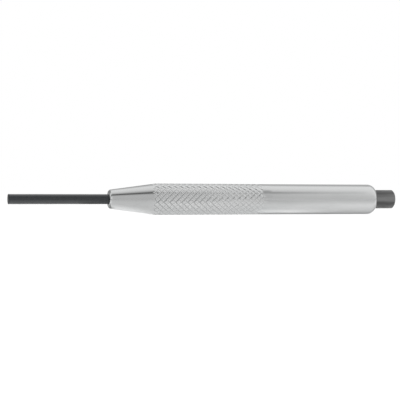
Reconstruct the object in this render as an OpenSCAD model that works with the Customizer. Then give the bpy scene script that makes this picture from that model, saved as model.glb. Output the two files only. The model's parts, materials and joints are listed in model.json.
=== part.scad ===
// Sheathed pin punch: a thin drift pin in a striking shank, guided by a knurled sleeve.
// The tool lies along X, with the tip face at the origin and the struck end towards +X.
// It is drawn with the sleeve pushed right back, so that the pin stands out of the nose.
// The sleeve slides forward until its nose is level with the tip, and turns freely.

/* [Drift pin] */
// Diameter of the pin, a little less than that of the roll pin it drives out
pin_d = 3.7; // [2.4:0.1:4.4]
// Length of pin in front of the nose with the sleeve right back, and so the sleeve's travel
pin_out = 36.6; // [20:0.1:55]
// Length of pin held in the shank's socket
socket_depth = 14; // [8:0.5:20]
// Edge break on both ends of the pin
pin_edge = 0.15; // [0.05:0.05:0.4]

/* [Guide sleeve] */
// Length of the sleeve from nose face to rear end
sleeve_len = 105.7; // [90:0.1:120]
// Diameter of the smooth rear grip
grip_d = 11.4; // [10.8:0.1:14]
// Length of the tapered nose in front of the knurl
nose_len = 16.2; // [10:0.2:24]
// Diameter of the nose at its front edge
nose_d = 7; // [6.4:0.1:9]
// Diameter at which the knurl begins; its first diamonds still lie on the taper
taper_end_d = 11.2; // [10.6:0.05:11.7]
// Radial width of the chamfer round the nose face
nose_chamfer_w = 0.45; // [0.2:0.05:0.9]
// Depth of the same chamfer along the tool
nose_chamfer_len = 0.4; // [0.2:0.05:0.8]
// Radius that rounds the rear end
rear_round_r = 3; // [1.5:0.1:3.2]
// Length of the narrow guide bore in the nose, up to the wide bore
guide_len = 20; // [14:0.5:30]
// Diameter of the wide bore that the shank's collar runs in
bore_d = 8; // [7.6:0.1:8.6]
// Length of the lip at the rear that is rolled in over the collar
lip_len = 3; // [3:0.1:6]

/* [Knurl] */
// Length of the knurled band
knurl_len = 42.2; // [30:0.1:60]
// Diameter over the tops of the diamonds
knurl_d = 11.65; // [11.6:0.05:12]
// Diameter over the last diamonds, where the knurl runs out onto the grip
knurl_rear_d = 11.45; // [11.45:0.05:11.6]
// Length over which it runs out
knurl_fade_len = 36; // [6:1:40]
// Depth of the grooves between the diamonds
knurl_depth = 0.3; // [0.2:0.05:0.4]
// Spacing of the grooves, square to them
knurl_pitch = 1.6; // [1.2:0.1:2.4]
// Share of each diamond's width that is left flat on top
knurl_flat_share = 0.5; // [0.3:0.05:0.7]

/* [Striking shank] */
// Diameter of the shank behind the collar, which is also the struck head
shank_d = 7.2; // [5.6:0.1:7.4]
// Length of shank behind the sleeve with the sleeve right back
head_out = 7.7; // [4:0.1:20]
// Chamfer round the struck end
head_chamfer = 0.4; // [0.2:0.05:1]
// Chamfer at both ends of the collar
collar_chamfer = 0.4; // [0.2:0.05:0.6]

/* [Friction rings] */
// Thickness of the rubber rings that hold the sleeve where it is put
ring_cord = 0.96; // [0.7:0.02:1.1]
// Distance from each end of the collar to the middle of its ring
ring_inset = 8; // [4:0.5:14]
// Side clearance of a ring in its groove
ring_side_gap = 0.15; // [0.05:0.05:0.3]

/* [Fits] */
// Clearance all round the pin and the shank where they slide and turn
running_gap = 0.03; // [0.01:0.01:0.08]
// Clearance all round the pin in its socket, filled by the joint
socket_gap = 0.01; // [0.005:0.005:0.03]
// Clearance along the tool where the collar stops against the sleeve
stop_gap = 0.1; // [0.05:0.05:0.3]

/* [Hidden] */
$fn = 96;

// Overrun of a cutting shape past the face that it cuts
cut_over = 1;

// Places along X of what the sleeve carries
nose_x = pin_out;
knurl_x = nose_x + nose_len;
grip_x = knurl_x + knurl_len;
sleeve_end_x = nose_x + sleeve_len;
bore_x = nose_x + guide_len;
lip_x = sleeve_end_x - lip_len;

// The wide bore ends in the cone of a drill point, half angle in degrees
drill_half_angle = 59;
guide_bore_r = pin_d / 2 + running_gap;
lip_bore_r = shank_d / 2 + running_gap;
drill_point_len = (bore_d / 2 - guide_bore_r) / tan(drill_half_angle);

// Edge breaks at the mouths of the sleeve's bores
mouth_chamfer = 0.2;

// Collar and head of the shank
collar_r = bore_d / 2 - running_gap;
collar_x = bore_x + stop_gap;
collar_end_x = lip_x - pin_out - stop_gap;
head_end_x = sleeve_end_x + head_out;
socket_r = pin_d / 2 + socket_gap;
pin_len = collar_x + socket_depth;

// Friction rings and their grooves
ring_r = collar_r - ring_cord / 2;
groove_floor_r = ring_r - ring_cord / 2 - running_gap;
groove_w = ring_cord + 2 * ring_side_gap;
ring_front_x = collar_x + ring_inset;
ring_rear_x = collar_end_x - ring_inset;

// The knurl is a lattice: rings of points along X, with even steps round each ring.
// Points where ring and step add up to an odd number are diamonds, the others are
// crossings of the grooves.
knurl_crest_r = knurl_d / 2;
knurl_starts = round(PI * knurl_d / (knurl_pitch * sqrt(2)));
knurl_steps = 2 * knurl_starts;
step_angle = 360 / knurl_steps;
step_len = PI * knurl_d / knurl_steps;
knurl_rings = max(2, round(knurl_len / step_len));
// The lattice starts and ends a little inside the plain parts on either side
knurl_lap_share = 0.1;
ring_step = knurl_len / (knurl_rings - 2 * knurl_lap_share);
knurl_first_x = knurl_x - knurl_lap_share * ring_step;
// The last diamonds at either end are worn down to just under the plain parts
knurl_end_share = 0.2;
taper_slope = (taper_end_d - nose_d) / 2 / (nose_len - nose_chamfer_len);
fade_slope = (knurl_d - knurl_rear_d) / 2 / knurl_fade_len;
knurl_core_r = taper_end_d / 2 - 2 * knurl_depth;

module guide_sleeve() {
    color("silver")
    difference() {
        union() {
            sleeve_blank();
            knurl_band();
        }
        sleeve_bores();
    }
}

module drift_pin() {
    color([0.24, 0.26, 0.27])
    along_x(0)
    rotate_extrude()
    chamfered_outline(pin_d / 2, pin_len, pin_edge);
}

module striking_shank() {
    color([0.40, 0.40, 0.40])
    difference() {
        union() {
            along_x(collar_x)
            rotate_extrude()
            chamfered_outline(collar_r, collar_end_x - collar_x, collar_chamfer);

            along_x(collar_end_x - collar_chamfer)
            rotate_extrude()
            chamfered_outline(shank_d / 2, head_end_x - collar_end_x + collar_chamfer, head_chamfer);
        }
        along_x(collar_x - cut_over)
        cylinder(r = socket_r, h = socket_depth + cut_over);
        ring_groove(ring_front_x);
        ring_groove(ring_rear_x);
    }
}

module friction_ring_front() {
    friction_ring(ring_front_x);
}

module friction_ring_rear() {
    friction_ring(ring_rear_x);
}

// The turned sleeve before it is bored, with a core in place of the knurl
module sleeve_blank() {
    nose_r = nose_d / 2;
    grip_r = grip_d / 2;
    along_x(nose_x)
    rotate_extrude()
    difference() {
        polygon([
            [0, 0],
            [nose_r - nose_chamfer_w, 0],
            [nose_r, nose_chamfer_len],
            [taper_end_d / 2, nose_len],
            [knurl_core_r, nose_len],
            [knurl_core_r, nose_len + knurl_len],
            [grip_r, nose_len + knurl_len],
            [grip_r, sleeve_len],
            [0, sleeve_len]
        ]);
        translate([grip_r - rear_round_r, sleeve_len - rear_round_r])
        difference() {
            square(rear_round_r + cut_over);
            circle(r = rear_round_r);
        }
    }
}

// Everything that is cut out of the sleeve: guide bore, wide bore and the lip's bore
module sleeve_bores() {
    along_x(nose_x - cut_over)
    cylinder(r = guide_bore_r, h = guide_len + cut_over);

    along_x(nose_x)
    cylinder(r1 = guide_bore_r + mouth_chamfer, r2 = guide_bore_r, h = mouth_chamfer);

    along_x(bore_x - drill_point_len)
    cylinder(r1 = guide_bore_r, r2 = bore_d / 2, h = drill_point_len);

    along_x(bore_x)
    cylinder(r = bore_d / 2, h = lip_x - bore_x);

    along_x(lip_x)
    cylinder(r = lip_bore_r, h = lip_len + cut_over);
}

// The band of diamonds, as one closed shell whose flat ends lie inside the blank
module knurl_band() {
    polyhedron(
        points = concat(
            [for (k = [0 : knurl_rings], s = [0 : knurl_steps - 1]) if (!is_diamond(k, s))
                knurl_point(k, s, floor_r(k))],
            [for (k = [0 : knurl_rings], s = [0 : knurl_steps - 1]) if (is_diamond(k, s))
                each diamond_points(k, s)]
        ),
        faces = concat(
            [for (k = [0 : knurl_rings], s = [0 : knurl_steps - 1]) if (is_diamond(k, s))
                each diamond_faces(k, s)],
            [end_face(0, false), end_face(knurl_rings, true)]
        )
    );
}

// Point of the lattice at ring k and step s, which may lie between two rings or steps
function knurl_point(k, s, r) = [
    knurl_first_x + k * ring_step,
    r * cos(s * step_angle),
    r * sin(s * step_angle)
];

function is_diamond(k, s) = (k + s) % 2 == 1;

function is_end_ring(k) = k == 0 || k == knurl_rings;

// Surface that the knurl is rolled into: the taper's last stretch, then the full diameter
function rolled_r(k) = min(taper_end_d / 2 + k * ring_step * taper_slope, knurl_crest_r);

function floor_r(k) = rolled_r(k) - knurl_depth;

// The diamonds get lower towards the rear, while the grooves keep their floor
function faded_r(k) = knurl_rear_d / 2 + (knurl_rings - k) * ring_step * fade_slope;

function crest_r(k) = is_end_ring(k)
    ? floor_r(k) + knurl_end_share * knurl_depth
    : min(rolled_r(k), faded_r(k));

// Corners of a diamond's flat top: backwards and forwards round the ring, then along X
function diamond_points(k, s) = [
    knurl_point(k, s - knurl_flat_share, crest_r(k)),
    knurl_point(k, s + knurl_flat_share, crest_r(k)),
    knurl_point(k == 0 ? k : k - knurl_flat_share, s, crest_r(k)),
    knurl_point(k == knurl_rings ? k : k + knurl_flat_share, s, crest_r(k))
];

// Each ring holds as many crossings as diamonds, and each diamond has four points
function crossing_index(k, s) =
    k * knurl_starts + floor(((s + knurl_steps) % knurl_steps) / 2);

function diamond_index(k, s, corner) =
    knurl_starts * (knurl_rings + 1) + 4 * (k * knurl_starts + floor(s / 2)) + corner;

// The four sloping sides and the flat top, each cut into triangles; half of them at the ends
function diamond_faces(k, s) =
    let (
        back = diamond_index(k, s, 0),
        forth = diamond_index(k, s, 1),
        low = diamond_index(k, s, 2),
        high = diamond_index(k, s, 3),
        cross_back = crossing_index(k, s - 1),
        cross_forth = crossing_index(k, s + 1),
        below = k == 0 ? [] : let (cross_low = crossing_index(k - 1, s)) [
            [low, back, cross_back],
            [low, cross_back, cross_low],
            [forth, low, cross_low],
            [forth, cross_low, cross_forth],
            [forth, back, low]
        ],
        above = k == knurl_rings ? [] : let (cross_high = crossing_index(k + 1, s)) [
            [back, high, cross_high],
            [back, cross_high, cross_back],
            [high, forth, cross_forth],
            [high, cross_forth, cross_high],
            [back, forth, high]
        ]
    )
    concat(below, above);

// Flat end of the band, through the crossings and the half diamonds of an end ring
function end_face(k, reversed) =
    let (loop = [for (s = [0 : knurl_steps - 1]) each is_diamond(k, s)
        ? [diamond_index(k, s, 0), diamond_index(k, s, 1)]
        : [crossing_index(k, s)]])
    reversed ? [for (i = [len(loop) - 1 : -1 : 0]) loop[i]] : loop;

// A rubber ring round the collar
module friction_ring(x) {
    color([0.13, 0.13, 0.13])
    along_x(x)
    rotate_extrude()
    translate([ring_r, 0])
    circle(d = ring_cord, $fn = 32);
}

// What the groove for a rubber ring takes out of the collar
module ring_groove(x) {
    along_x(x - groove_w / 2)
    difference() {
        cylinder(r = collar_r + cut_over, h = groove_w);
        translate([0, 0, -cut_over])
        cylinder(r = groove_floor_r, h = groove_w + 2 * cut_over);
    }
}

// Half outline of a round bar with a chamfer at both ends, from its first face onwards
module chamfered_outline(r, length, chamfer) {
    polygon([
        [0, 0],
        [r - chamfer, 0],
        [r, chamfer],
        [r, length - chamfer],
        [r - chamfer, length],
        [0, length]
    ]);
}

// Turns what stands along Z to lie along X, starting at x
module along_x(x) {
    translate([x, 0, 0])
    rotate([0, 90, 0])
    children();
}

guide_sleeve();
drift_pin();
striking_shank();
friction_ring_front();
friction_ring_rear();
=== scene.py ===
"""Looks of a sheathed pin punch: a black drift pin and a dark struck head in a plated, knurled sleeve.

The tool lies on a white table along X, tip towards -X. The sleeve, the pin and the shank are turned here
from outlines at the sizes of their CAD nodes, with rounded edges, painted shade on the knurl's groove
floors, on the nose's face and on the pin's tip, painted reflection bands on the shank, and their finishes.
The two rubber rings keep their CAD shape.
"""

import json
import math

import bpy
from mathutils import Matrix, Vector


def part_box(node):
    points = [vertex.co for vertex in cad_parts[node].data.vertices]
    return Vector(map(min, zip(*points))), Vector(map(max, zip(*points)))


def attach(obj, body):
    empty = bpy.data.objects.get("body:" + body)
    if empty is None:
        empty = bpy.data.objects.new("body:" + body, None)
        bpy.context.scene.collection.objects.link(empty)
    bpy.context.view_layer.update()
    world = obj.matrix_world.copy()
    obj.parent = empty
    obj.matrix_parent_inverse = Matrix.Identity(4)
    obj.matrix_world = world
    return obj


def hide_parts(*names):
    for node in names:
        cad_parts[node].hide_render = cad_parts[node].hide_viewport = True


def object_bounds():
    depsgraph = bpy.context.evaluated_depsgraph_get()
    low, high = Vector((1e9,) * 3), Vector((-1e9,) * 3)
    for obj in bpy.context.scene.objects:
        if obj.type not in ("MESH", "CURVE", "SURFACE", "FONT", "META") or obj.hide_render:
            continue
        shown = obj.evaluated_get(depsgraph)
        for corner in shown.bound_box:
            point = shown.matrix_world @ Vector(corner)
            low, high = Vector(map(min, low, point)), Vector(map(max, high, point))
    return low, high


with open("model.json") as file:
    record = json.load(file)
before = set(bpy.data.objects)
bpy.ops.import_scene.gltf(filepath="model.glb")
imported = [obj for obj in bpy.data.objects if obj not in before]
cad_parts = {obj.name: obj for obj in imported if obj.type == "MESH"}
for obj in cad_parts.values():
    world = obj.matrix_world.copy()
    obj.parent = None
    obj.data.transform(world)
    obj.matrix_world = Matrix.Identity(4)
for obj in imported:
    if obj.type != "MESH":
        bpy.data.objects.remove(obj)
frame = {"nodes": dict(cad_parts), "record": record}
cad_low, cad_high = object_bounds()

MM = 0.001
TAU = 2 * math.pi

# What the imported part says: where its pieces start and end, and how thick they are
sleeve_low, sleeve_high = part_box("guide_sleeve")
pin_low, pin_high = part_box("drift_pin")
shank_low, shank_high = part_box("striking_shank")
nose_x = sleeve_low.x
sleeve_end_x = sleeve_high.x
knurl_r = sleeve_high.z
pin_r = pin_high.z
collar_r = shank_high.z
mount_r = {m["name"]: m["dims"].get("r_mm", 0) * MM for m in frame["record"]["mounts"]}
grip_r = mount_r["rack_grip"]

# Sizes of the sleeve's outline
NOSE_LEN = 16.2 * MM
NOSE_R = 3.5 * MM
NOSE_CHAMFER_LEN = 0.4 * MM
NOSE_EDGE_R = 1.0 * MM
MOUTH_CHAMFER = 0.2 * MM
MOUTH_EDGE_R = 0.03 * MM
TAPER_END_R = 5.6 * MM
FRONT_SLOPE = (TAPER_END_R - NOSE_R) / (NOSE_LEN - NOSE_CHAMFER_LEN)
KNURL_LEN = 42.2 * MM
REAR_ROUND_R = 3 * MM
GUIDE_BORE_R = 1.88 * MM
GUIDE_BORE_LEN = 20 * MM
WIDE_BORE_R = 4 * MM
LIP_BORE_R = 3.63 * MM
LIP_LEN = 3 * MM
DRILL_HALF_ANGLE = math.radians(59)
# How far back the painted shade on the nose's face reaches
FACE_DEPTH = NOSE_EDGE_R / 2

# The knurl: grooves each way round the sleeve, steps of the mesh across half a diamond, groove depth
KNURL_STARTS = 16
KNURL_SUBSTEPS = 8
KNURL_DEPTH = 0.27 * MM
# How far a groove's flank reaches, as a share of the way from its bottom to the middle of a diamond
GROOVE_SHARE = 0.4
# How deep a face lies in its groove, from 0 to 1, to get the painted shade of the groove floors
GROOVE_SHADE_FROM = 0.6
# One face in so many is cut along its rising diagonal, among them those at the bottom of a rising groove
RISING_EVERY = 4
# The crests run down towards the rear over RUN_OUT, and sink to the grip's surface over RUN_OUT_END
REAR_CREST_R = 5.725 * MM
RUN_OUT = 36 * MM
RUN_OUT_END = 2.5 * MM
# Groove depth at the knurl's rear end, as a share of the full depth, and its gain over the run-out
REAR_DEPTH_SHARE = 0.45
DEPTH_GAIN = 0.8

# Shank and pin
SHANK_R = 3.6 * MM
HEAD_CHAMFER = 0.4 * MM
HEAD_EDGE_R = 0.1 * MM
COLLAR_CHAMFER = 0.4 * MM
COLLAR_EDGE_R = 0.05 * MM
COLLAR_END_X = 102.6 * MM
SOCKET_R = 1.86 * MM
SOCKET_DEPTH = 14 * MM
PIN_EDGE = 0.15 * MM
PIN_EDGE_R = 0.1 * MM
PIN_FACE_EDGE_R = 0.05 * MM
# How far back the painted shade on the pin's tip face and edge reaches
PIN_END = 0.4 * MM
RING_GROOVE_R = 2.98 * MM
RING_GROOVE_W = 1.26 * MM
RING_INSET = 8 * MM

# The mesh: steps round each piece, steps of an arc, and the longest stretch between two rings
STEPS_ROUND = 2 * KNURL_STARTS * KNURL_SUBSTEPS
FILLET_STEPS = 9
REAR_ARC_STEPS = 20
NOSE_STRETCH = 1.0 * MM
GRIP_STRETCH = 4.0 * MM
BORE_STRETCH = 12.0 * MM
DRIFT_STRETCH = 3.0 * MM
# Radius of the ring round the fan that closes the middle of a flat end
FAN_R = 0.02 * MM
# Edges sharper than this stay sharp in the shading
SHARP_FROM = math.radians(50)


def ring_of(x, radius):
    """A ring of the lathe mesh: its place along X and its radius at every step round."""
    return x, [radius] * STEPS_ROUND


def rings_along(outline, longest):
    """Rings of the lathe mesh through an outline, at most longest apart."""
    return [ring_of(x, r) for x, r in subdivided(outline, longest)]


def rounded(corners):
    """Outline through (x, radius, fillet) corners, with each fillet between its ends drawn as an arc."""
    outline = []
    for i, (x, r, fillet) in enumerate(corners):
        if fillet == 0 or i in (0, len(corners) - 1):
            outline.append((x, r))
            continue
        here = Vector((x, r))
        before = Vector(corners[i - 1][:2]) - here
        after = Vector(corners[i + 1][:2]) - here
        half = before.angle(after) / 2
        reach = fillet / math.tan(half)
        inwards = (before.normalized() + after.normalized()).normalized()
        centre = here + inwards * (fillet / math.sin(half))
        start = here + before.normalized() * reach - centre
        end = here + after.normalized() * reach - centre
        spread = start.angle(end)
        for k in range(FILLET_STEPS + 1):
            # slerp between the two radii of the arc
            a = math.sin(spread * (1 - k / FILLET_STEPS)) / math.sin(spread)
            b = math.sin(spread * k / FILLET_STEPS) / math.sin(spread)
            point = centre + start * a + end * b
            outline.append((point.x, point.y))
    return outline


def subdivided(outline, longest):
    """The same outline with its long straight stretches cut into shorter ones."""
    result = [outline[0]]
    for (x0, r0), (x1, r1) in zip(outline, outline[1:]):
        parts = max(1, math.ceil(math.hypot(x1 - x0, r1 - r0) / longest))
        for k in range(1, parts + 1):
            t = k / parts
            result.append((x0 + (x1 - x0) * t, r0 + (r1 - r0) * t))
    return result


def lathe(name, rings, materials, slot_of, closed=False, split_of=None):
    """Turns rings about X into a mesh. Open ends are closed by a flat fan.

    slot_of(k, s) is the material index of the face after ring k at step s. split_of(k, s) says whether
    that face is cut in two along its rising (True) or falling (False) diagonal, or stays whole (None).
    """
    verts = []
    for x, radii in rings:
        for s, r in enumerate(radii):
            turn = TAU * s / STEPS_ROUND
            verts.append((x, r * math.cos(turn), r * math.sin(turn)))
    faces = []
    indices = []
    last = len(rings) if closed else len(rings) - 1
    for k in range(last):
        a = k * STEPS_ROUND
        b = (k + 1) % len(rings) * STEPS_ROUND
        for s in range(STEPS_ROUND):
            t = (s + 1) % STEPS_ROUND
            corner = (a + s, a + t, b + t, b + s)
            rising = split_of(k, s) if split_of else None
            if rising is None:
                new = [corner]
            elif rising:
                new = [(corner[0], corner[1], corner[2]), (corner[0], corner[2], corner[3])]
            else:
                new = [(corner[0], corner[1], corner[3]), (corner[1], corner[2], corner[3])]
            faces += new
            indices += [slot_of(k, s)] * len(new)
    if not closed:
        for ring, beside, flip in ((0, 0, True), (last, last - 1, False)):
            centre = len(verts)
            verts.append((rings[ring][0], 0, 0))
            for s in range(STEPS_ROUND):
                a = ring * STEPS_ROUND + s
                b = ring * STEPS_ROUND + (s + 1) % STEPS_ROUND
                faces.append((centre, b, a) if flip else (centre, a, b))
                indices.append(slot_of(beside, s))
    mesh = bpy.data.meshes.new(name)
    mesh.from_pydata(verts, [], faces)
    for material in materials:
        mesh.materials.append(material)
    for polygon, index in zip(mesh.polygons, indices):
        polygon.material_index = index
    mesh.validate()
    mesh.shade_smooth()
    mesh.set_sharp_from_angle(angle=SHARP_FROM)
    piece = bpy.data.objects.new(name, mesh)
    bpy.context.scene.collection.objects.link(piece)
    return piece


def groove(s, k):
    """How deep the grooves cut at step s of ring k, from 0 on a diamond to 1 at a groove's bottom."""
    period = 2 * KNURL_SUBSTEPS
    deepest = 0
    for line in (s + k, s - k):
        off = line % period
        off = min(off, period - off) / KNURL_SUBSTEPS
        deepest = max(deepest, 1 - off / GROOVE_SHARE)
    return deepest


def knurl_rings():
    """Rings of the knurled band, from the taper's end to the smooth grip."""
    step_len = TAU * knurl_r / STEPS_ROUND
    count = round(KNURL_LEN / step_len / KNURL_SUBSTEPS) * KNURL_SUBSTEPS
    rings = []
    for k in range(count + 1):
        along = KNURL_LEN * k / count
        left = KNURL_LEN - along
        run_out = REAR_CREST_R + (knurl_r - REAR_CREST_R) * left / RUN_OUT
        crest = min(TAPER_END_R + along * FRONT_SLOPE, knurl_r, run_out)
        crest = grip_r + (crest - grip_r) * min(1, left / RUN_OUT_END)
        depth = 0
        if 0 < k < count:
            depth = KNURL_DEPTH * min(1, REAR_DEPTH_SHARE + DEPTH_GAIN * left / RUN_OUT)
        radii = [crest - depth * groove(s, k) for s in range(STEPS_ROUND)]
        rings.append((nose_x + NOSE_LEN + along, radii))
    return rings


# Shader nodes

# Nearly all of a noise's values lie between these
NOISE_LOW = 0.3
NOISE_HIGH = 0.7
NOISE_ROUGHNESS = 0.55
IN_MM = (1 / MM, 1 / MM, 1 / MM)


def new_material(name):
    """A new material with its nodes, their links and its shader."""
    material = bpy.data.materials.new(name)
    material.use_nodes = True
    nodes = material.node_tree.nodes
    return material, nodes, material.node_tree.links, nodes["Principled BSDF"]


def scaled_coordinates(nodes, links, scale):
    """Object coordinates in metres, times scale along each axis."""
    coordinates = nodes.new("ShaderNodeTexCoord")
    mapping = nodes.new("ShaderNodeMapping")
    mapping.inputs["Scale"].default_value = scale
    links.new(coordinates.outputs["Object"], mapping.inputs["Vector"])
    return mapping.outputs["Vector"]


def noise(nodes, links, scale, detail=3.0):
    """Noise with scale waves per metre along each axis."""
    texture = nodes.new("ShaderNodeTexNoise")
    texture.inputs["Scale"].default_value = 1.0
    texture.inputs["Detail"].default_value = detail
    texture.inputs["Roughness"].default_value = NOISE_ROUGHNESS
    links.new(scaled_coordinates(nodes, links, scale), texture.inputs["Vector"])
    return texture.outputs["Fac"]


def ranged(nodes, links, value, low, high):
    """A noise's value, spread from low to high."""
    spread = nodes.new("ShaderNodeMapRange")
    spread.inputs["From Min"].default_value = NOISE_LOW
    spread.inputs["From Max"].default_value = NOISE_HIGH
    spread.inputs["To Min"].default_value = low
    spread.inputs["To Max"].default_value = high
    links.new(value, spread.inputs["Value"])
    return spread.outputs["Result"]


def colour_between(nodes, links, value, dark, light):
    """A colour from dark to light that follows a noise's value."""
    colours = nodes.new("ShaderNodeValToRGB")
    for element, at, colour in zip(colours.color_ramp.elements, (NOISE_LOW, NOISE_HIGH), (dark, light)):
        element.position = at
        element.color = (*colour, 1)
    links.new(value, colours.inputs["Fac"])
    return colours.outputs["Color"]


def ramp(nodes, links, value, stops, low, high):
    """Grey level along value, through (place, level) stops between the places low and high."""
    place = nodes.new("ShaderNodeMapRange")
    place.inputs["From Min"].default_value = low
    place.inputs["From Max"].default_value = high
    links.new(value, place.inputs["Value"])
    colours = nodes.new("ShaderNodeValToRGB")
    elements = colours.color_ramp.elements
    while len(elements) < len(stops):
        elements.new(0.5)
    for element, (at, level) in zip(elements, stops):
        element.position = (at - low) / (high - low)
        element.color = (level, level, level, 1)
    links.new(place.outputs["Result"], colours.inputs["Fac"])
    return colours.outputs["Color"]


def math_node(nodes, links, operation, a, b=None):
    """One arithmetic step on sockets or plain numbers."""
    node = nodes.new("ShaderNodeMath")
    node.operation = operation
    for socket, value in zip(node.inputs, (a, b)):
        if isinstance(value, (int, float)):
            socket.default_value = value
        elif value is not None:
            links.new(value, socket)
    return node.outputs["Value"]


def mixed(nodes, links, share, a, b):
    """a where share is 0, b where it is 1, and a mix of both between."""
    node = nodes.new("ShaderNodeMix")
    node.data_type = "RGBA"
    links.new(share, node.inputs["Factor"])
    links.new(a, node.inputs["A"])
    links.new(b, node.inputs["B"])
    return node.outputs["Result"]


def add_bump(nodes, links, shader, height, distance):
    """Bumps the shader's surface, which stands up by distance where height is 1."""
    bump = nodes.new("ShaderNodeBump")
    bump.inputs["Distance"].default_value = distance
    links.new(height, bump.inputs["Height"])
    links.new(bump.outputs["Normal"], shader.inputs["Normal"])


# Materials

# The plate's noise scales along X, Y and Z: slow tone, clouds of gloss, the lathe's fine marks
PLATE_TONE = (60, 260, 260)
PLATE_CLOUD = (220, 700, 700)
LATHE_MARKS = (9000, 60, 60)
# The sleeve's finishes and painted shade: darkest and lightest colour, range of roughness, depth of the
# lathe's marks
SLEEVE_FINISHES_AND_SHADE = {
    "plated_plain": ((0.69, 0.70, 0.70), (0.74, 0.745, 0.745), (0.09, 0.13), 0.0006 * MM),
    "plated_knurl": ((0.74, 0.75, 0.75), (0.79, 0.795, 0.795), (0.18, 0.25), 0.001 * MM),
    "bored_steel": ((0.36, 0.36, 0.36), (0.44, 0.44, 0.44), (0.25, 0.35), 0.004 * MM),
    # The nose's face is darker: painted shade
    "plated_face_painted_shade": ((0.52, 0.53, 0.53), (0.58, 0.585, 0.585), (0.14, 0.20), 0.002 * MM),
    # The knurl's groove floors are darker: painted shade
    "plated_groove_painted_shade": ((0.64, 0.65, 0.65), (0.69, 0.695, 0.695), (0.18, 0.25), 0.001 * MM),
}
# Their places among the sleeve's materials
PLAIN, KNURL, BORE, FACE, GROOVE_SHADE = range(len(SLEEVE_FINISHES_AND_SHADE))

# The dark steel's noise scales: tone, clouds of gloss, waver of the painted reflection bands
OXIDE_TONE = (180, 500, 500)
OXIDE_CLOUD = (500, 1400, 1400)
BAND_WAVER = (120, 300, 300)
OXIDE_IOR = 1.6
SHEEN_ROUGHNESS = 0.43
# Painted reflection bands on the shank, lighter and darker with height: (mm above the centre line, grey
# level)
SHANK_PAINTED_REFLECTIONS = [
    (-3.4, 0.32), (-2.9, 0.26), (-2.6, 0.19), (-2.1, 0.125), (-1.7, 0.10), (-1.3, 0.115),
    (-0.9, 0.19), (-0.5, 0.25), (0, 0.28), (0.7, 0.26), (1.1, 0.215), (1.5, 0.21),
    (1.9, 0.18), (2.3, 0.12), (2.7, 0.115), (3.1, 0.175), (3.6, 0.24),
]
# How far above and below the centre line the painted reflection bands are placed, and how far they waver,
# in mm
BAND_REACH = 4
WAVER_REACH = 0.3
# The painted bands' level is multiplied by a base and a share of the tone's noise
MOTTLE_BASE = 0.85
MOTTLE_SHARE = 0.3

# The rings' rubber: noise scale, darkest and lightest colour, roughness and depth of its grain
RUBBER_GRAIN = (2000, 2000, 2000)
RUBBER_DARK = (0.018, 0.018, 0.018)
RUBBER_LIGHT = (0.03, 0.03, 0.03)
RUBBER_ROUGHNESS = 0.55
RUBBER_DEPTH = 0.01 * MM


def plated_steel(name, dark, light, roughness, mark_depth):
    """Satin nickel and chrome plate, with the lathe's fine marks running round under it."""
    material, nodes, links, shader = new_material(name)
    shader.inputs["Metallic"].default_value = 1.0
    tone = noise(nodes, links, PLATE_TONE)
    links.new(colour_between(nodes, links, tone, dark, light), shader.inputs["Base Color"])
    cloud = noise(nodes, links, PLATE_CLOUD)
    links.new(ranged(nodes, links, cloud, *roughness), shader.inputs["Roughness"])
    marks = noise(nodes, links, LATHE_MARKS, detail=2.0)
    add_bump(nodes, links, shader, marks, mark_depth)
    return material


def painted_reflection_bands(nodes, links, tone, reflection_bands):
    """Painted reflection bands along the tool from (mm above the centre line, grey level) stops, mottled
    by tone.
    """
    split = nodes.new("ShaderNodeSeparateXYZ")
    links.new(scaled_coordinates(nodes, links, IN_MM), split.inputs["Vector"])
    waver = ranged(nodes, links, noise(nodes, links, BAND_WAVER), -WAVER_REACH, WAVER_REACH)
    height = math_node(nodes, links, "ADD", split.outputs["Z"], waver)
    reflection_band = ramp(nodes, links, height, reflection_bands, -BAND_REACH, BAND_REACH)
    mottle = math_node(nodes, links, "MULTIPLY", tone, MOTTLE_SHARE)
    mottle = math_node(nodes, links, "ADD", MOTTLE_BASE, mottle)
    return math_node(nodes, links, "MULTIPLY", reflection_band, mottle)


def dark_steel(name, roughness, metallic, mark_scale, mark_depth, colours=None, reflection_bands=None, sheen=0):
    """Hardened steel with a dark oxide skin, mottled between two colours or given painted reflection
    bands.
    """
    material, nodes, links, shader = new_material(name)
    shader.inputs["Metallic"].default_value = metallic
    shader.inputs["IOR"].default_value = OXIDE_IOR
    shader.inputs["Sheen Weight"].default_value = sheen
    shader.inputs["Sheen Roughness"].default_value = SHEEN_ROUGHNESS
    tone = noise(nodes, links, OXIDE_TONE, detail=4.0)
    if reflection_bands:
        colour = painted_reflection_bands(nodes, links, tone, reflection_bands)
    else:
        colour = colour_between(nodes, links, tone, *colours)
    links.new(colour, shader.inputs["Base Color"])
    cloud = noise(nodes, links, OXIDE_CLOUD)
    links.new(ranged(nodes, links, cloud, *roughness), shader.inputs["Roughness"])
    marks = noise(nodes, links, mark_scale)
    add_bump(nodes, links, shader, marks, mark_depth)
    return material


def ring_rubber():
    """Black nitrile rubber with a fine grain."""
    material, nodes, links, shader = new_material("nitrile_rubber")
    tone = noise(nodes, links, RUBBER_GRAIN)
    colour = colour_between(nodes, links, tone, RUBBER_DARK, RUBBER_LIGHT)
    links.new(colour, shader.inputs["Base Color"])
    shader.inputs["Roughness"].default_value = RUBBER_ROUGHNESS
    add_bump(nodes, links, shader, tone, RUBBER_DEPTH)
    return material


# Pieces


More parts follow.
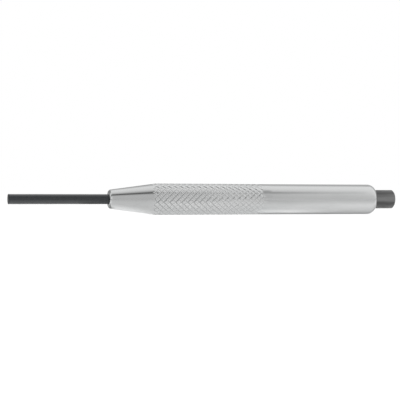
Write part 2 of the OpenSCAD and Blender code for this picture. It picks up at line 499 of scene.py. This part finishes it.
def guide_sleeve():
    """The plated sleeve: nose, knurl, smooth grip, rolled rear edge and the bores inside."""
    materials = [plated_steel(name, *finish) for name, finish in SLEEVE_FINISHES_AND_SHADE.items()]
    knurl_x = nose_x + NOSE_LEN
    front = rounded([
        (nose_x + MOUTH_CHAMFER, GUIDE_BORE_R, 0),
        (nose_x, GUIDE_BORE_R + MOUTH_CHAMFER, MOUTH_EDGE_R),
        (nose_x, NOSE_R - FRONT_SLOPE * NOSE_CHAMFER_LEN, NOSE_EDGE_R),
        (knurl_x, TAPER_END_R, 0),
    ])
    # The rear rounding runs from the grip to the lip's bore
    lip_above_centre = LIP_BORE_R - (grip_r - REAR_ROUND_R)
    round_x = sleeve_end_x - math.sqrt(REAR_ROUND_R**2 - lip_above_centre**2)
    arc_end = math.acos(lip_above_centre / REAR_ROUND_R)
    rear = []
    for k in range(REAR_ARC_STEPS + 1):
        turn = arc_end * k / REAR_ARC_STEPS
        radius = grip_r - REAR_ROUND_R + REAR_ROUND_R * math.cos(turn)
        rear.append((round_x + REAR_ROUND_R * math.sin(turn), radius))
    lip_x = sleeve_end_x - LIP_LEN
    bore_x = nose_x + GUIDE_BORE_LEN
    drill_point = (WIDE_BORE_R - GUIDE_BORE_R) / math.tan(DRILL_HALF_ANGLE)
    bores = [
        (lip_x, LIP_BORE_R),
        (lip_x, WIDE_BORE_R),
        (bore_x, WIDE_BORE_R),
        (bore_x - drill_point, GUIDE_BORE_R),
    ]
    front_rings = rings_along(front, NOSE_STRETCH)[:-1]
    band = knurl_rings()
    grip = rings_along([(knurl_x + KNURL_LEN, grip_r), rear[0]], GRIP_STRETCH)[1:]
    rear_rings = [ring_of(x, r) for x, r in rear[1:]]
    bore_rings = rings_along(bores, BORE_STRETCH)
    rings = front_rings + band + grip + rear_rings + bore_rings
    face_end = next(k for k, ring in enumerate(front_rings) if ring[0] > nose_x + FACE_DEPTH)
    band_start = len(front_rings)
    band_end = band_start + len(band) - 1
    bore_start = band_end + len(grip) + len(rear_rings)

    def slot_of(k, s):
        if k < face_end:
            return FACE
        if band_start <= k < band_end:
            # Faces deep in a groove get the groove floors' painted shade
            return GROOVE_SHADE if groove(s + 0.5, k - band_start + 0.5) > GROOVE_SHADE_FROM else KNURL
        return BORE if k >= bore_start else PLAIN

    def split_of(k, s):
        if not band_start <= k < band_end:
            return None
        return (s - (k - band_start)) % RISING_EVERY == 0

    piece = lathe("sleeve", rings, materials, slot_of, closed=True, split_of=split_of)
    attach(piece, "sleeve")
    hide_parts("guide_sleeve")


def drift_pin():
    """The black pin, square cut at the tip."""
    black = dark_steel(
        "blackened_pin",
        roughness=(0.24, 0.34),
        metallic=0.0,
        mark_scale=(6000, 90, 90),
        mark_depth=0.002 * MM,
        colours=((0.015, 0.020, 0.024), (0.024, 0.029, 0.034)),
        sheen=1.0,
    )
    # The tip face and its edge get darker colours: painted shade
    end = dark_steel(
        "pin_end_painted_shade",
        roughness=(0.35, 0.50),
        metallic=0.0,
        mark_scale=(300, 900, 900),
        mark_depth=0.004 * MM,
        colours=((0.008, 0.010, 0.012), (0.014, 0.017, 0.020)),
    )
    outline = rounded([
        (pin_low.x, FAN_R, 0),
        (pin_low.x, pin_r - PIN_EDGE, PIN_FACE_EDGE_R),
        (pin_low.x + PIN_EDGE, pin_r, PIN_EDGE_R),
        (pin_low.x + PIN_END, pin_r, 0),
        (pin_high.x - PIN_EDGE, pin_r, PIN_EDGE_R),
        (pin_high.x, pin_r - PIN_EDGE, PIN_FACE_EDGE_R),
        (pin_high.x, FAN_R, 0),
    ])
    rings = rings_along(outline, DRIFT_STRETCH)
    piece = lathe("pin", rings, [black, end], lambda k, s: 1 if rings[k][0] < pin_low.x + PIN_END else 0)
    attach(piece, "drift")
    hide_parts("drift_pin")


def striking_shank():
    """The collar with its ring grooves and socket, the plain shank and the struck head."""
    # The shank's colour is painted reflection bands, lighter and darker with height, mottled by random
    # tone
    grey = dark_steel(
        "shank_painted_reflections",
        roughness=(0.28, 0.40),
        metallic=0.85,
        mark_scale=(5000, 120, 120),
        mark_depth=0.003 * MM,
        reflection_bands=SHANK_PAINTED_REFLECTIONS,
    )
    start = shank_low.x
    corners = [
        (start + SOCKET_DEPTH, FAN_R, 0),
        (start + SOCKET_DEPTH, SOCKET_R, 0),
        (start, SOCKET_R, 0),
        (start, collar_r - COLLAR_CHAMFER, COLLAR_EDGE_R),
        (start + COLLAR_CHAMFER, collar_r, COLLAR_EDGE_R),
    ]
    for middle in (start + RING_INSET, COLLAR_END_X - RING_INSET):
        corners += [
            (middle - RING_GROOVE_W / 2, collar_r, 0),
            (middle - RING_GROOVE_W / 2, RING_GROOVE_R, 0),
            (middle + RING_GROOVE_W / 2, RING_GROOVE_R, 0),
            (middle + RING_GROOVE_W / 2, collar_r, 0),
        ]
    corners += [
        (COLLAR_END_X - COLLAR_CHAMFER, collar_r, COLLAR_EDGE_R),
        (COLLAR_END_X, collar_r - COLLAR_CHAMFER, 0),
        (COLLAR_END_X, SHANK_R, 0),
        (shank_high.x - HEAD_CHAMFER, SHANK_R, HEAD_EDGE_R),
        (shank_high.x, SHANK_R - HEAD_CHAMFER, HEAD_EDGE_R),
        (shank_high.x, FAN_R, 0),
    ]
    rings = rings_along(rounded(corners), DRIFT_STRETCH)
    piece = lathe("shank", rings, [grey], lambda k, s: 0)
    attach(piece, "drift")
    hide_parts("striking_shank")


def friction_rings():
    """The two rings keep their CAD shape and get the rubber's finish."""
    rubber = ring_rubber()
    for name in ("friction_ring_front", "friction_ring_rear"):
        frame["nodes"][name].data.materials.clear()
        frame["nodes"][name].data.materials.append(rubber)


# The studio

# The photograph's width, and in its pixels the focal length, the tool's length at the distance of its
# centre, the way from the tip to the frame's middle, and the axis's height above the middle
PHOTO_PX = 400
FOCAL_PX = 1200
TOOL_PX = 400.3
TIP_TO_CENTRE_PX = 191.1
AXIS_ABOVE_CENTRE_PX = 0.8
CAMERA_YAW = math.radians(16)
SENSOR_MM = 36
CLIP_START = 2 * MM


def camera():
    """The photograph's camera: level with the tool, left of square on to it."""
    per_px = (cad_high.x - cad_low.x) / TOOL_PX
    centre = Vector((cad_low.x + TIP_TO_CENTRE_PX * per_px, 0, 0))
    ahead = Vector((math.sin(CAMERA_YAW), math.cos(CAMERA_YAW), 0))
    data = bpy.data.cameras.new("camera")
    data.sensor_width = SENSOR_MM
    data.lens = SENSOR_MM * FOCAL_PX / PHOTO_PX
    data.clip_start = CLIP_START
    eye = bpy.data.objects.new("camera", data)
    eye.location = centre - ahead * FOCAL_PX * per_px - Vector((0, 0, AXIS_ABOVE_CENTRE_PX * per_px))
    eye.rotation_euler = (math.pi / 2, 0, -CAMERA_YAW)
    bpy.context.scene.collection.objects.link(eye)
    bpy.context.scene.camera = eye


# The table: half its width, its grey level, and the light that lifts it to white for the camera
TABLE_HALF = 3.0
TABLE_GREY = 0.82
CAMERA_LIFT = 0.53
# How far from the tip and from the tool's centre line the places below may lie, in mm
TABLE_REACH = 160
# Painted light that only the metal's reflections see on the table, beyond the light that falls on it: (mm
# from the centre line, level)
TABLE_BESIDE_PIN = [(0, 0.85), (4, 0.85), (8, 0.72), (12, 0.48), (20, 0.10), (60, 0)]
TABLE_BESIDE_NOSE = [(0, 0.60), (2, 0.56), (3.6, 0.34), (5.7, 0.19), (11, 0.125), (25, 0.04), (60, 0)]
TABLE_BESIDE_KNURL = [
    (0, 0.36), (2.2, 0.40), (3, 0.41), (3.6, 0.39), (4.4, 0.33),
    (8.4, 0.25), (12.5, 0.20), (24, 0.13), (60, 0.06),
]
TABLE_BESIDE_GRIP = [
    (0, 0.10), (1.3, 0.19), (2.1, 0.43), (2.7, 0.63), (3.3, 0.65), (4, 0.46),
    (4.7, 0.40), (5.4, 0.34), (8.4, 0.26), (12.5, 0.14), (23.5, 0.03), (60, 0),
]
TABLE_BESIDE_REAR = [
    (0, 0.10), (1.3, 0.19), (2.1, 0.34), (2.7, 0.26), (3.3, 0.40), (4, 0.40),
    (4.7, 0.37), (5.4, 0.38), (8.4, 0.36), (12.5, 0.23), (23.5, 0.12), (60, 0.08),
]
# How those follow each other along the tool: (mm from the tip, share of the next)
PIN_TO_NOSE = [(26, 0), (36, 1)]
NOSE_TO_KNURL = [(46, 0), (56, 1)]
KNURL_TO_GRIP = [(92, 0), (97, 1)]
GRIP_TO_REAR = [(108, 0), (128, 1)]
# The rounded lower edge of the nose's face mirrors a patch of the table that gets none of that painted
# light, a painted shade:
# (mm from the tip, share) and (mm behind the centre line, share)
UNLIT_ALONG = [(26, 0), (29, 1), (37, 1), (39, 0)]
UNLIT_BEHIND = [(-2, 0), (-1, 1)]


def white_table():
    """A white table under the tool, lifted to white for the camera, with painted light and shade for the
    metal.
    """
    corners = [(-1, -1), (1, -1), (1, 1), (-1, 1)]
    mesh = bpy.data.meshes.new("table")
    mesh.from_pydata([(x * TABLE_HALF, y * TABLE_HALF, cad_low.z) for x, y in corners], [], [(0, 1, 2, 3)])
    material, nodes, links, shader = new_material("table_white")
    shader.inputs["Base Color"].default_value = (TABLE_GREY, TABLE_GREY, TABLE_GREY, 1)
    shader.inputs["Roughness"].default_value = 1.0
    shader.inputs["Specular IOR Level"].default_value = 0.0
    shader.inputs["Emission Color"].default_value = (1, 1, 1, 1)
    split = nodes.new("ShaderNodeSeparateXYZ")
    links.new(scaled_coordinates(nodes, links, IN_MM), split.inputs["Vector"])
    along = split.outputs["X"]
    aside = math_node(nodes, links, "ABSOLUTE", split.outputs["Y"])

    def by_place(place, stops):
        return ramp(nodes, links, place, stops, 0, TABLE_REACH)

    level = by_place(aside, TABLE_BESIDE_PIN)
    for passage, beside_next in (
        (PIN_TO_NOSE, TABLE_BESIDE_NOSE),
        (NOSE_TO_KNURL, TABLE_BESIDE_KNURL),
        (KNURL_TO_GRIP, TABLE_BESIDE_GRIP),
        (GRIP_TO_REAR, TABLE_BESIDE_REAR),
    ):
        level = mixed(nodes, links, by_place(along, passage), level, by_place(aside, beside_next))
    unlit_along = by_place(along, UNLIT_ALONG)
    unlit_behind = ramp(nodes, links, split.outputs["Y"], UNLIT_BEHIND, -TABLE_REACH, TABLE_REACH)
    unlit = math_node(nodes, links, "MULTIPLY", unlit_along, unlit_behind)
    level = math_node(nodes, links, "MULTIPLY", level, math_node(nodes, links, "SUBTRACT", 1, unlit))
    path = nodes.new("ShaderNodeLightPath")
    for_metal = math_node(nodes, links, "MULTIPLY", level, path.outputs["Is Glossy Ray"])
    for_camera = math_node(nodes, links, "MULTIPLY", path.outputs["Is Camera Ray"], CAMERA_LIFT)
    links.new(math_node(nodes, links, "ADD", for_metal, for_camera), shader.inputs["Emission Strength"])
    mesh.materials.append(material)
    table = bpy.data.objects.new("table", mesh)
    bpy.context.scene.collection.objects.link(table)


# Brightness of the studio round the tool: (degrees from the camera's side over the top, level)
STUDIO_FAR_LEFT = [(-180, 1.0), (180, 1.0)]
STUDIO_END = [(-180, 0.32), (-60, 0.80), (0, 1.0), (85, 0.94), (100, 0.80), (114, 0.36), (180, 0.32)]
STUDIO_LEFT = [
    (-180, 0.36), (-60, 0.56), (0, 0.565), (32, 0.575), (50, 0.66), (66, 0.76), (84, 0.82),
    (98, 0.86), (110, 0.93), (118, 0.88), (130, 0.66), (145, 0.46), (180, 0.36),
]
STUDIO_RIGHT = [
    (-180, 0.50), (-60, 0.68), (0, 0.685), (18, 0.69), (32, 0.75), (42, 0.81), (64, 0.87),
    (84, 0.925), (98, 0.965), (110, 0.92), (122, 0.62), (140, 0.50), (180, 0.50),
]
# The dark gap between the front light and the top light: (degrees, share), and how much light it takes
STUDIO_GAP = [(32, 0), (40, 0.3), (47, 1), (53, 1), (62, 0.45), (72, 0.15), (84, 0)]
GAP_DEPTH = 0.82
# How those follow each other, and where the gap is closed: (how far to the right, from -1 to 1, share)
FAR_LEFT_TO_END = [(-0.85, 0), (-0.65, 1)]
END_TO_LEFT = [(-0.5, 0), (-0.12, 1)]
LEFT_TO_RIGHT = [(0.30, 0), (0.42, 1)]
GAP_CLOSED = [(0.05, 0), (0.25, 0.23), (0.33, 0.45), (0.42, 1)]


def studio():
    """A soft white studio: darker behind the camera, bright overhead, and white to the camera."""
    scene = bpy.context.scene
    world = bpy.data.worlds.new("studio")
    world.use_nodes = True
    nodes = world.node_tree.nodes
    links = world.node_tree.links
    scene.world = world
    direction = nodes.new("ShaderNodeTexCoord")
    split = nodes.new("ShaderNodeSeparateXYZ")
    links.new(direction.outputs["Generated"], split.inputs["Vector"])
    to_front = math_node(nodes, links, "MULTIPLY", split.outputs["Y"], -1)
    turn = math_node(nodes, links, "ARCTAN2", split.outputs["Z"], to_front)
    turn = math_node(nodes, links, "DEGREES", turn)

    def by_turn(levels):
        return ramp(nodes, links, turn, levels, -180, 180)

    def by_rightness(shares):
        return ramp(nodes, links, split.outputs["X"], shares, -1, 1)

    level = by_turn(STUDIO_FAR_LEFT)
    for passage, next_levels in (
        (FAR_LEFT_TO_END, STUDIO_END),
        (END_TO_LEFT, STUDIO_LEFT),
        (LEFT_TO_RIGHT, STUDIO_RIGHT),
    ):
        level = mixed(nodes, links, by_rightness(passage), level, by_turn(next_levels))
    open_share = math_node(nodes, links, "SUBTRACT", 1, by_rightness(GAP_CLOSED))
    darkness = math_node(nodes, links, "MULTIPLY", by_turn(STUDIO_GAP), open_share)
    lost = math_node(nodes, links, "MULTIPLY", darkness, GAP_DEPTH)
    level = math_node(nodes, links, "MULTIPLY", level, math_node(nodes, links, "SUBTRACT", 1, lost))
    path = nodes.new("ShaderNodeLightPath")
    level = math_node(nodes, links, "MAXIMUM", level, path.outputs["Is Camera Ray"])
    links.new(level, nodes["Background"].inputs["Color"])
    scene.view_settings.view_transform = "Standard"


camera()
white_table()
studio()
guide_sleeve()
drift_pin()
striking_shank()
friction_rings()
